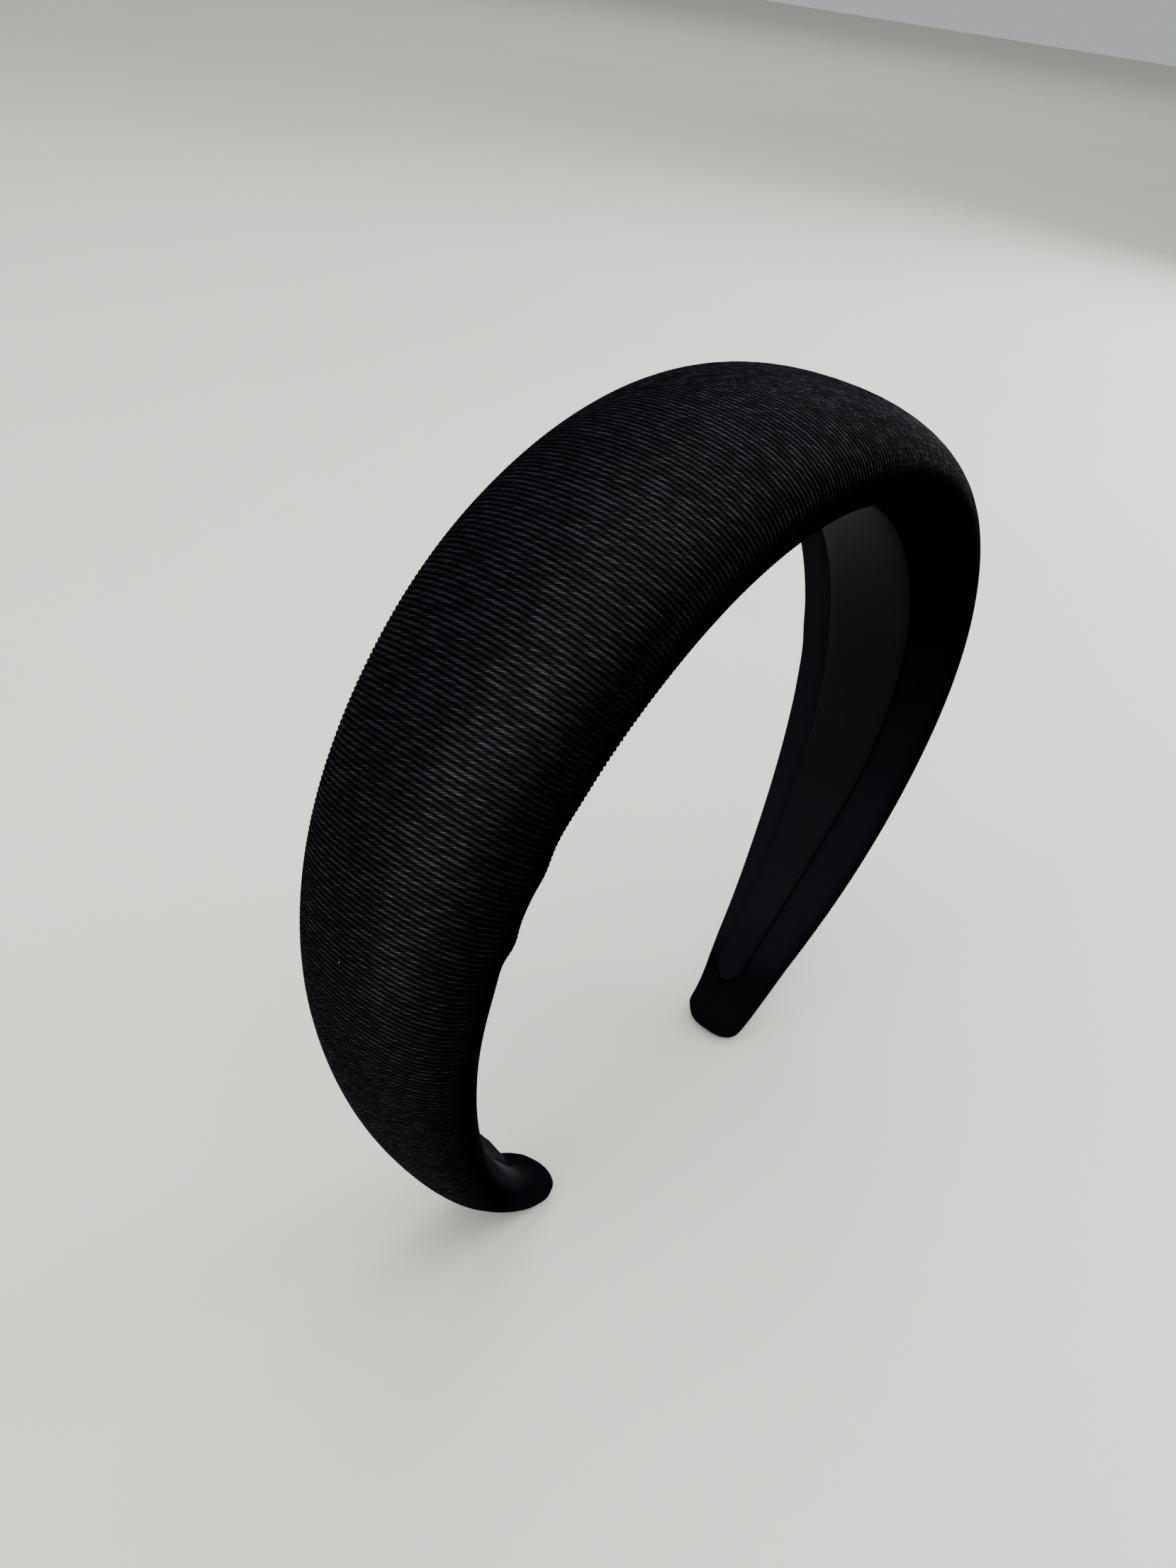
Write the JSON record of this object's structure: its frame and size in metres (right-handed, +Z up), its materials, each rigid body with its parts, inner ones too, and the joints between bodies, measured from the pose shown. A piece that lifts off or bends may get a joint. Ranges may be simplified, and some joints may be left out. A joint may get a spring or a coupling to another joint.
{
  "type": "padded headband",
  "caption": "Padded headband: a thick tapering band of ribbed cloth over a soft core, with a smooth lining inside and two inward-curled tips that it stands on.",
  "frame": {"origin": "on the surface that the tips stand on, under the middle of the crown", "axes": "+X from the left leg to the right leg, +Y from the front edge to the back edge, +Z up"},
  "size_m": [0.1568, 0.0428, 0.155],
  "materials": {
    "cover": "black ribbed cloth with a soft sheen",
    "padding": "dark soft foam",
    "lining": "smooth charcoal ribbon, satin"
  },
  "bodies": {
    "root": {"cover": "cover", "padding": "padding", "lining": "lining"}
  },
  "joints": []
}
